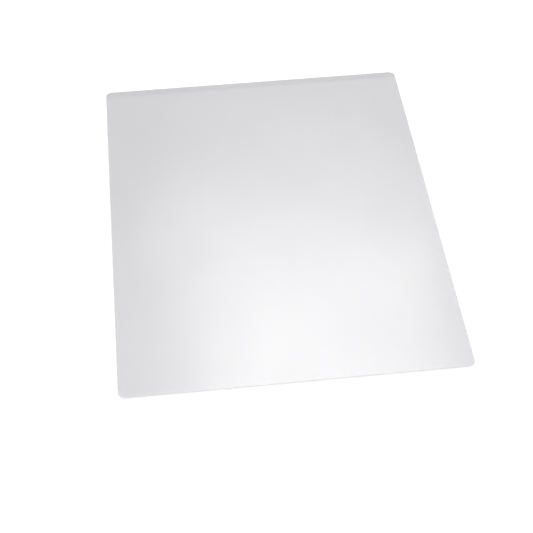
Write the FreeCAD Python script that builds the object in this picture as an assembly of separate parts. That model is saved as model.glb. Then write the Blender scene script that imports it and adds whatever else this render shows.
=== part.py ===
import FreeCAD, Part
import os

# A letter-size laminating pouch, lying flat with its mouth open a little.
# Two leaves of film lie one on the other and are heat-sealed along one short edge.
# +X runs along the sealed edge, +Y points from the mouth to the sealed edge, +Z is up.
# The origin is on the underside, at the middle of the pouch. All lengths are millimetres.

# Driving dimensions of the pouch
POUCH_WIDTH = 228.6
POUCH_LENGTH = 292.1
CORNER_RADIUS = 5.0
FILM_THICKNESS = 0.127
SEAL_WIDTH = 6.0

# How the upper leaf lies over the lower one, as clear gaps between the leaves
REST_GAP = 0.25
AIR_GAP = 0.7
MOUTH_GAP = 1.0

# Lengths of the stretches in which the gap changes, measured away from the seal
SEAL_EASE = 16.0
MOUTH_CURL = 70.0

# Clearance over the finished height of the tool that cuts the outline
CUTTER_CLEARANCE = 1.0

# Places that follow from the sizes
SEALED_END = POUCH_LENGTH / 2
MOUTH_END = -POUCH_LENGTH / 2
SEAL_INNER_EDGE = SEALED_END - SEAL_WIDTH
EASE_END = SEAL_INNER_EDGE - SEAL_EASE
CURL_START = MOUTH_END + MOUTH_CURL
AIR_CREST = (EASE_END + CURL_START) / 2
CUTTER_HEIGHT = 2 * FILM_THICKNESS + max(REST_GAP, AIR_GAP, MOUTH_GAP) + CUTTER_CLEARANCE


def outline_prism(height):
    """Everything inside the die-cut outline: a rectangle with four round corners."""
    blank = Part.makeBox(
        POUCH_WIDTH, POUCH_LENGTH, height,
        FreeCAD.Vector(-POUCH_WIDTH / 2, MOUTH_END, 0),
    )
    corners = [edge for edge in blank.Edges if is_upright(edge)]
    return blank.makeFillet(CORNER_RADIUS, corners)


def is_upright(edge):
    """True for an edge that runs along Z."""
    run = edge.Vertexes[1].Point - edge.Vertexes[0].Point
    return abs(run.z) > max(abs(run.x), abs(run.y))


def side_point(y, z):
    """A point of the leaf's side view, drawn at the pouch's left edge."""
    return FreeCAD.Vector(-POUCH_WIDTH / 2, y, z)


def level_rise(y_from, z_from, y_to, z_to):
    """An S-shaped stretch of film that leaves and arrives level."""
    third = (y_to - y_from) / 3
    curve = Part.BezierCurve()
    curve.setPoles([
        side_point(y_from, z_from),
        side_point(y_from + third, z_from),
        side_point(y_to - third, z_to),
        side_point(y_to, z_to),
    ])
    return curve.toShape()


def free_curl(y_from, z_from, y_to, z_to):
    """A stretch of film that leaves level and bends away evenly to its free end."""
    curve = Part.BezierCurve()
    curve.setPoles([
        side_point(y_from, z_from),
        side_point((y_from + y_to) / 2, z_from),
        side_point(y_to, z_to),
    ])
    return curve.toShape()


def leaf_line(base):
    """The side view of one face of the upper leaf, from the seal to the mouth.

    base is the face's height in the seal.
    """
    rest = base + REST_GAP
    seal = Part.makeLine(side_point(SEALED_END, base), side_point(SEAL_INNER_EDGE, base))
    return [
        seal,
        level_rise(SEAL_INNER_EDGE, base, EASE_END, rest),
        level_rise(EASE_END, rest, AIR_CREST, base + AIR_GAP),
        level_rise(AIR_CREST, base + AIR_GAP, CURL_START, rest),
        free_curl(CURL_START, rest, MOUTH_END, base + MOUTH_GAP),
    ]


def make_lower_leaf():
    """The leaf that lies on the table, flat all over."""
    return outline_prism(FILM_THICKNESS)


def make_upper_leaf():
    """The leaf on top: fused flat at the seal, then bending one way only, as film does."""
    inner = FILM_THICKNESS
    outer = inner + FILM_THICKNESS
    sealed_cut = Part.makeLine(side_point(SEALED_END, inner), side_point(SEALED_END, outer))
    mouth_cut = Part.makeLine(
        side_point(MOUTH_END, inner + MOUTH_GAP),
        side_point(MOUTH_END, outer + MOUTH_GAP),
    )
    outside_back_to_seal = leaf_line(outer)[::-1]
    edges = leaf_line(inner) + [mouth_cut] + outside_back_to_seal + [sealed_cut]
    section = Part.Face(Part.Wire(edges))
    web = section.extrude(FreeCAD.Vector(POUCH_WIDTH, 0, 0))
    return web.common(outline_prism(CUTTER_HEIGHT)).Solids[0]


def report_leaf(name, leaf):
    """Prints what a wrong size would show in."""
    box = leaf.BoundBox
    print(
        name, "valid", leaf.isValid(), "volume", round(leaf.Volume, 2),
        "x", round(box.XLength, 3), "y", round(box.YLength, 3),
        "z", round(box.ZMin, 3), round(box.ZMax, 3),
    )


os.makedirs("parts", exist_ok=True)
leaves = {
    "lower_leaf": make_lower_leaf(),
    "upper_leaf": make_upper_leaf(),
}
for name, leaf in leaves.items():
    report_leaf(name, leaf)
    leaf.exportStep(os.path.join("parts", name + ".step"))
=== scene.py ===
import math

import bpy
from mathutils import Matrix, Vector


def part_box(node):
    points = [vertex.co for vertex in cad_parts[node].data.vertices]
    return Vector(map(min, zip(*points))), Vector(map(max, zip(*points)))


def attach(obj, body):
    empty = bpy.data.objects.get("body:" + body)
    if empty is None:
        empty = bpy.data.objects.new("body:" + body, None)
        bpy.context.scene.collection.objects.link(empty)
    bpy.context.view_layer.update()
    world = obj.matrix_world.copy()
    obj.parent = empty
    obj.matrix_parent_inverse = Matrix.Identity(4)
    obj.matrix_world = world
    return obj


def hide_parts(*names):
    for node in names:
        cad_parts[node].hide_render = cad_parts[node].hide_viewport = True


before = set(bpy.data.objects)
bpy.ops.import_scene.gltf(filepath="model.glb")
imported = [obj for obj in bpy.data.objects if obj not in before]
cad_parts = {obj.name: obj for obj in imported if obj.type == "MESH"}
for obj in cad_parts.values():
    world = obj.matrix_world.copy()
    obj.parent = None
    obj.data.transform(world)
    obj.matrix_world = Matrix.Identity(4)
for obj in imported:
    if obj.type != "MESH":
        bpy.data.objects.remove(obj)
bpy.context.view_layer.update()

# Sizes of the pouch, in metres, read from the frame
lower_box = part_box("lower_leaf")
upper_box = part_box("upper_leaf")
HALF_WIDTH = lower_box[1].x
HALF_LENGTH = lower_box[1].y
FILM_THICKNESS = lower_box[1].z
MOUTH_GAP = upper_box[1].z - 2 * FILM_THICKNESS

# The outline and the way the upper leaf lies, as in the part's source, in metres
CORNER_RADIUS = 0.005
SEAL_WIDTH = 0.006
REST_GAP = 0.00025
AIR_GAP = 0.0007
SEAL_EASE = 0.016
MOUTH_CURL = 0.07

SEAL_INNER_EDGE = HALF_LENGTH - SEAL_WIDTH
EASE_END = SEAL_INNER_EDGE - SEAL_EASE
CURL_START = MOUTH_CURL - HALF_LENGTH
AIR_CREST = (EASE_END + CURL_START) / 2

# How the leaves are divided and finished
CORNER_SEGMENTS = 10
CUTS_ACROSS = 48
CUTS_ALONG = 72
WELD_CLEARANCE = 0.000004
CUT_EDGE_ROUND = 0.00003
CUT_EDGE_SEGMENTS = 2
CUT_EDGE_ANGLE = math.radians(60)
SMOOTH_ANGLE = math.radians(20)

# A face is a cut edge of the film if less than this share of its normal points up or down
LEAST_UPRIGHT = 0.9

# Slow waves that film keeps from its roll: height, length across, length along, phase
FILM_WAVES = (
    (0.00006, 0.190, 0.130, 0.6),
    (0.00004, -0.110, 0.085, 2.1),
    (0.00003, 0.075, -0.160, 4.4),
)

# The film's own tone, and that of the seal, where the leaves have melted into one
FILM_TONE = (0.608, 0.605, 0.628, 1)
SEAL_TONE = (0.550, 0.547, 0.570, 1)

# The film's glossy polyester: how it bends light, its shine and the roughness of its skin
FILM_IOR = 1.57
FILM_SHINE = 1.0
SKIN_ROUGHNESS = 0.26

# Each face of the film: how much it hides, its roughness, its skin and how far its haze varies
OUTER_FACE = {"opacity": 0.24, "roughness": 0.34, "skin": 1.0, "haze_range": 0.10}
INNER_FACE = {"opacity": 0.20, "roughness": 0.50, "skin": 0.0, "haze_range": 0.16}

# The patterns in the film: the size of their lumps across, along and up, in metres
GRAIN_SIZE = (0.0009, 0.0009, 0.0009)
CLOUD_SIZE = (0.055, 0.090, 0.055)
STREAK_SIZE = (0.0035, 0.300, 0.0035)
RIPPLE_SIZE = (0.075, 0.120, 0.075)

# The part that each pattern has in the haze, and the clouds' part in the roughness
GRAIN_HAZE = 0.5
CLOUD_HAZE = 0.8
STREAK_HAZE = 0.3
CLOUD_ROUGHNESS = 0.06

# How deep the fine grain is, the slow ripples that only the sheen shows, and the print of
# the sealing bar, in metres
GRAIN_DEPTH = 0.000005
RIPPLE_DEPTH = 0.0025
SEAL_PRINT = 0.00008

# How much glossier the seal is, and how far its inner line reaches to each side, in metres
SEAL_GLOSS = 0.12
SEAL_LINE_OUT = 0.0006
SEAL_LINE_IN = 0.0004

# The film's cut edge, and a painted glow on it that stands in for the light that runs inside
# the film and comes out of it
EDGE_TONE = (0.90, 0.905, 0.90, 1)
EDGE_ROUGHNESS = 0.5
EDGE_OPACITY = 0.6
EDGE_RANGE = 0.2
EDGE_PAINTED_GLOW = 0.3
NICK_SIZE = (0.0006, 0.0006, 0.0006)

# The camera: the photograph's elevation and heading, and the point of the table it aims at
CAMERA_LENS = 81.86
CAMERA_ELEVATION = math.radians(48.9)
CAMERA_HEADING = math.radians(-6.45)
CAMERA_DISTANCE = 0.8305
CAMERA_AIM = Vector((-0.0096, -0.0471, 0))
CAMERA_NEAREST = 0.01

# The table, and how brightly it shows from TABLE_NEAR to TABLE_FAR, in metres from the pouch
TABLE_SIZE = 8.0
TABLE_DROP = 0.00005
TABLE_COLOUR = (0.82, 0.82, 0.82, 1)
TABLE_GLOW_NEAR = 0.24
TABLE_GLOW_FAR = 0.80
TABLE_NEAR = 0.1
TABLE_FAR = 1.2

# The even light from all round, which shows as white, at a strength of 1
WHITE = (1, 1, 1, 1)
SKY_STRENGTH = 0.38

# Each softbox: its width and height, its place, the point it is aimed at, and its power
SOFTBOXES = {
    "back_softbox": ((0.46, 0.50), Vector((0.13, 0.58, 1.02)), Vector((0, -0.05, 0)), 9.5),
    "front_softbox": ((0.80, 0.60), Vector((-0.15, -0.80, 0.62)), Vector((0, 0, 0)), 3.0),
}

# The Mix node's own numbers for its two colours and for the colour that it gives
MIX_FIRST = 6
MIX_SECOND = 7
MIX_RESULT = 2


class Value:
    """A shader socket that works in sums: each operator adds one Math node."""

    def __init__(self, nodes, socket):
        self.nodes = nodes
        self.socket = socket

    def __add__(self, other):
        return self.nodes.maths("ADD", self, other)

    def __radd__(self, other):
        return self.nodes.maths("ADD", other, self)

    def __sub__(self, other):
        return self.nodes.maths("SUBTRACT", self, other)

    def __rsub__(self, other):
        return self.nodes.maths("SUBTRACT", other, self)

    def __mul__(self, other):
        return self.nodes.maths("MULTIPLY", self, other)

    def __rmul__(self, other):
        return self.nodes.maths("MULTIPLY", other, self)

    def root(self):
        return self.nodes.maths("SQRT", self)

    def at_most(self, limit):
        return self.nodes.maths("MINIMUM", self, limit)

    def rise(self, start, end):
        """0 up to start, 1 from end, and a smooth rise between them."""
        return self.nodes.node(
            "ShaderNodeMapRange",
            {"interpolation_type": "SMOOTHSTEP"},
            {"Value": self, "From Min": start, "From Max": end},
        )


class Nodes:
    """The nodes of a material or of the sky. node() adds every one, and ends() the last."""

    def __init__(self, owner):
        self.owner = owner
        owner.use_nodes = True
        self.tree = owner.node_tree
        self.tree.nodes.clear()

    def node(self, kind, settings, sockets, output=0):
        """Adds a node, sets it up, fills its sockets and returns one of its outputs."""
        made = self.tree.nodes.new(kind)
        for setting, value in settings.items():
            setattr(made, setting, value)
        for name, value in sockets.items():
            if isinstance(value, Value):
                self.tree.links.new(value.socket, made.inputs[name])
            else:
                made.inputs[name].default_value = value
        return Value(self, made.outputs[output]) if made.outputs else None

    def maths(self, operation, first, second=0.0):
        return self.node("ShaderNodeMath", {"operation": operation}, {0: first, 1: second})

    def point(self):
        """The point being coloured, in metres from the middle of the pouch."""
        return self.node("ShaderNodeTexCoord", {}, {}, "Object")

    def along(self, axis, point):
        return self.node("ShaderNodeSeparateXYZ", {}, {"Vector": point}, axis)

    def noise(self, point, lump, detail=2.0):
        """Smooth noise, mostly within a quarter either side of 0."""
        scaled = self.node(
            "ShaderNodeVectorMath", {"operation": "DIVIDE"}, {0: point, 1: lump},
        )
        return self.node(
            "ShaderNodeTexNoise", {}, {"Vector": scaled, "Scale": 1.0, "Detail": detail},
        ) - 0.5

    def blend(self, share, first, second):
        """Goes from the first colour to the second while share goes from 0 to 1."""
        return self.node(
            "ShaderNodeMix",
            {"data_type": "RGBA"},
            {"Factor": share, MIX_FIRST: first, MIX_SECOND: second},
            MIX_RESULT,
        )

    def shown(self):
        """1 where the studio is looked at or mirrored, and 0 where it only gives light."""
        camera = self.node("ShaderNodeLightPath", {}, {}, "Is Camera Ray")
        mirrored = self.node("ShaderNodeLightPath", {}, {}, "Is Glossy Ray")
        through = self.node("ShaderNodeLightPath", {}, {}, "Is Transmission Ray")
        return (camera + mirrored + through).at_most(1)

    def ends(self, kind, surface):
        self.node(kind, {}, {"Surface": surface})
        return self.owner


def film_finish(name, opacity, roughness, skin, haze_range):
    """Film seen through one of its faces."""
    finish = Nodes(bpy.data.materials.new(name))
    point = finish.point()
    grain = finish.noise(point, GRAIN_SIZE)
    clouds = finish.noise(point, CLOUD_SIZE, 1.0)
    streaks = finish.noise(point, STREAK_SIZE, 1.0)
    ripples = finish.noise(point, RIPPLE_SIZE, 0.0)
    seal = finish.along("Y", point).rise(
        SEAL_INNER_EDGE - SEAL_LINE_OUT, SEAL_INNER_EDGE + SEAL_LINE_IN,
    )
    haze = 1 + haze_range * (grain * GRAIN_HAZE + clouds * CLOUD_HAZE + streaks * STREAK_HAZE)
    height = grain * GRAIN_DEPTH + ripples * RIPPLE_DEPTH - seal * SEAL_PRINT
    shader = finish.node(
        "ShaderNodeBsdfPrincipled",
        {},
        {
            "Base Color": finish.blend(seal, FILM_TONE, SEAL_TONE),
            "Roughness": roughness + clouds * CLOUD_ROUGHNESS - seal * SEAL_GLOSS,
            "Alpha": opacity * haze,
            "IOR": FILM_IOR,
            "Specular IOR Level": FILM_SHINE,
            "Coat Weight": skin,
            "Coat Roughness": SKIN_ROUGHNESS,
            "Normal": finish.node(
                "ShaderNodeBump", {}, {"Height": height, "Strength": 1, "Distance": 1},
            ),
        },
    )
    return finish.ends("ShaderNodeOutputMaterial", shader)


def cut_edge_finish():
    """The die-cut wall of the film, with a painted glow that stands in for the light that runs
    inside it.
    """
    finish = Nodes(bpy.data.materials.new("cut_edge"))
    nicks = finish.noise(finish.point(), NICK_SIZE)
    shader = finish.node(
        "ShaderNodeBsdfPrincipled",
        {},
        {
            "Base Color": EDGE_TONE,
            "Roughness": EDGE_ROUGHNESS + nicks * EDGE_RANGE,
            "Alpha": EDGE_OPACITY + nicks * EDGE_RANGE,
            "IOR": FILM_IOR,
            # Painted glow: the cut edge emits light though it is no lamp, standing in for
            # light that runs inside the film
            "Emission Color": WHITE,
            "Emission Strength": EDGE_PAINTED_GLOW,
        },
    )
    return finish.ends("ShaderNodeOutputMaterial", shader)


def table_finish():
    """A plain white table, which shows a little brighter than it lights the pouch."""
    finish = Nodes(bpy.data.materials.new("table"))
    point = finish.point()
    x = finish.along("X", point)
    y = finish.along("Y", point)
    away = (x * x + y * y).root().rise(TABLE_NEAR, TABLE_FAR)
    brightness = TABLE_GLOW_NEAR + away * (TABLE_GLOW_FAR - TABLE_GLOW_NEAR)
    paint = finish.node("ShaderNodeBsdfDiffuse", {}, {"Color": TABLE_COLOUR})
    glow = finish.node("ShaderNodeEmission", {}, {"Color": finish.shown() * brightness})
    surface = finish.node("ShaderNodeAddShader", {}, {0: paint, 1: glow})
    return finish.ends("ShaderNodeOutputMaterial", surface)


def leaf_gap(y):
    """The clear gap between the leaves at a distance y from the pouch's middle."""
    if y >= SEAL_INNER_EDGE:
        return 0.0
    if y >= EASE_END:
        return level_rise(y, SEAL_INNER_EDGE, 0.0, EASE_END, REST_GAP)
    if y >= AIR_CREST:
        return level_rise(y, EASE_END, REST_GAP, AIR_CREST, AIR_GAP)
    if y >= CURL_START:
        return level_rise(y, AIR_CREST, AIR_GAP, CURL_START, REST_GAP)
    share = (CURL_START - y) / MOUTH_CURL
    return REST_GAP + (MOUTH_GAP - REST_GAP) * share * share


def level_rise(y, y_from, gap_from, y_to, gap_to):
    """The gap on an S-shaped stretch that leaves and arrives level."""
    share = (y - y_from) / (y_to - y_from)
    return gap_from + (gap_to - gap_from) * share * share * (3 - 2 * share)


def film_wave(x, y):
    """The small height that film's own waves add, zero at the seal and at the mouth."""
    height = sum(
        size * math.sin(2 * math.pi * (x / across + y / along) + phase)
        for size, across, along, phase in FILM_WAVES
    )
    from_seal = min(max((SEAL_INNER_EDGE - y) / SEAL_EASE, 0), 1)
    from_mouth = min(max((y + HALF_LENGTH) / MOUTH_CURL, 0), 1)
    return height * from_seal * from_mouth


def deselect_all():
    for thing in bpy.context.selected_objects:
        thing.select_set(False)


def cut_blank(name, bottom):
    """A flat blank of film with round corners, crossed by even cuts so that it can bend."""
    deselect_all()
    bpy.ops.mesh.primitive_plane_add(size=2, location=(0, 0, 0))
    blank = bpy.context.object
    blank.name = name
    blank.data.name = name
    bpy.ops.object.mode_set(mode="EDIT")
    bpy.ops.transform.resize(value=(HALF_WIDTH, HALF_LENGTH, 1))
    bpy.ops.transform.translate(value=(0, 0, bottom))
    bpy.ops.mesh.bevel(
        offset=CORNER_RADIUS, segments=CORNER_SEGMENTS, profile=0.5, affect="VERTICES",
    )
    cut_across(CUTS_ACROSS, HALF_WIDTH, Vector((1, 0, 0)))
    cut_across(CUTS_ALONG, HALF_LENGTH, Vector((0, 1, 0)))
    bpy.ops.object.mode_set(mode="OBJECT")
    return blank


def cut_across(cuts, half, direction):
    """Bisects the blank at even steps from one side to the other."""
    for cut in range(1, cuts):
        bpy.ops.mesh.select_all(action="SELECT")
        bpy.ops.mesh.bisect(
            plane_co=direction * (half * (2 * cut / cuts - 1)), plane_no=direction,
        )


def thicken(leaf):
    """Gives the blank its film thickness upwards and takes the sharpness off its cut edge."""
    deselect_all()
    leaf.select_set(True)
    bpy.context.view_layer.objects.active = leaf
    solid = leaf.modifiers.new("film_thickness", "SOLIDIFY")
    solid.thickness = FILM_THICKNESS
    solid.offset = 1
    bpy.ops.object.modifier_apply(modifier=solid.name)
    edge = leaf.modifiers.new("cut_edge", "BEVEL")
    edge.width = CUT_EDGE_ROUND
    edge.segments = CUT_EDGE_SEGMENTS
    edge.limit_method = "ANGLE"
    edge.angle_limit = CUT_EDGE_ANGLE
    bpy.ops.object.modifier_apply(modifier=edge.name)
    bpy.ops.object.shade_smooth_by_angle(angle=SMOOTH_ANGLE)


def dress(leaf, upward, downward, cut_edge):
    """Gives each face of the leaf its finish by the way that it looks."""
    for material in (upward, downward, cut_edge):
        leaf.data.materials.append(material)
    for face in leaf.data.polygons:
        if abs(face.normal.z) < LEAST_UPRIGHT:
            face.material_index = 2
        else:
            face.material_index = 0 if face.normal.z > 0 else 1


def make_lower_leaf(outer, inner, cut_edge):
    """The leaf that lies flat on the table."""
    leaf = cut_blank("lower_leaf_film", 0)
    thicken(leaf)
    dress(leaf, inner, outer, cut_edge)
    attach(leaf, "root")
    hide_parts("lower_leaf")


def make_upper_leaf(outer, inner, cut_edge):
    """The leaf on top, welded at the far edge and open at the other three."""
    leaf = cut_blank("upper_leaf_film", FILM_THICKNESS)
    for vertex in leaf.data.vertices:
        x, y = vertex.co.x, vertex.co.y
        vertex.co.z += max(leaf_gap(y) + film_wave(x, y), WELD_CLEARANCE)
    thicken(leaf)
    dress(leaf, outer, inner, cut_edge)
    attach(leaf, "root")
    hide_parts("upper_leaf")


def make_table():
    deselect_all()
    bpy.ops.mesh.primitive_plane_add(size=TABLE_SIZE, location=(0, 0, -TABLE_DROP))
    table = bpy.context.object
    table.name = "table"
    table.data.materials.append(table_finish())


def make_sky():
    """Even white light from all round."""
    sky = Nodes(bpy.data.worlds.new("studio"))
    strength = SKY_STRENGTH + sky.shown() * (1 - SKY_STRENGTH)
    light = sky.node("ShaderNodeBackground", {}, {"Color": WHITE, "Strength": strength})
    bpy.context.scene.world = sky.ends("ShaderNodeOutputWorld", light)


def aim(thing, place, target):
    """Puts a lamp or a camera at place, level, looking at target."""
    thing.location = place
    thing.rotation_euler = (target - place).to_track_quat("-Z", "Y").to_euler()


def make_softbox(name, size, place, target, power):
    data = bpy.data.lights.new(name, "AREA")
    data.shape = "RECTANGLE"
    data.size, data.size_y = size
    data.energy = power
    softbox = bpy.data.objects.new(name, data)
    bpy.context.collection.objects.link(softbox)
    aim(softbox, place, target)


def make_camera():
    data = bpy.data.cameras.new("camera")
    data.lens = CAMERA_LENS
    data.clip_start = CAMERA_NEAREST
    camera = bpy.data.objects.new("camera", data)
    bpy.context.collection.objects.link(camera)
    away = Vector((
        math.sin(CAMERA_HEADING) * math.cos(CAMERA_ELEVATION),
        -math.cos(CAMERA_HEADING) * math.cos(CAMERA_ELEVATION),
        math.sin(CAMERA_ELEVATION),
    ))
    aim(camera, CAMERA_AIM + away * CAMERA_DISTANCE, CAMERA_AIM)
    bpy.context.scene.camera = camera


make_camera()
make_sky()
for name, (size, place, target, power) in SOFTBOXES.items():
    make_softbox(name, size, place, target, power)
make_table()
outer_face = film_finish("outer_face", **OUTER_FACE)
inner_face = film_finish("inner_face", **INNER_FACE)
cut_edge = cut_edge_finish()
make_lower_leaf(outer_face, inner_face, cut_edge)
make_upper_leaf(outer_face, inner_face, cut_edge)

bpy.context.scene.view_settings.view_transform = "Standard"
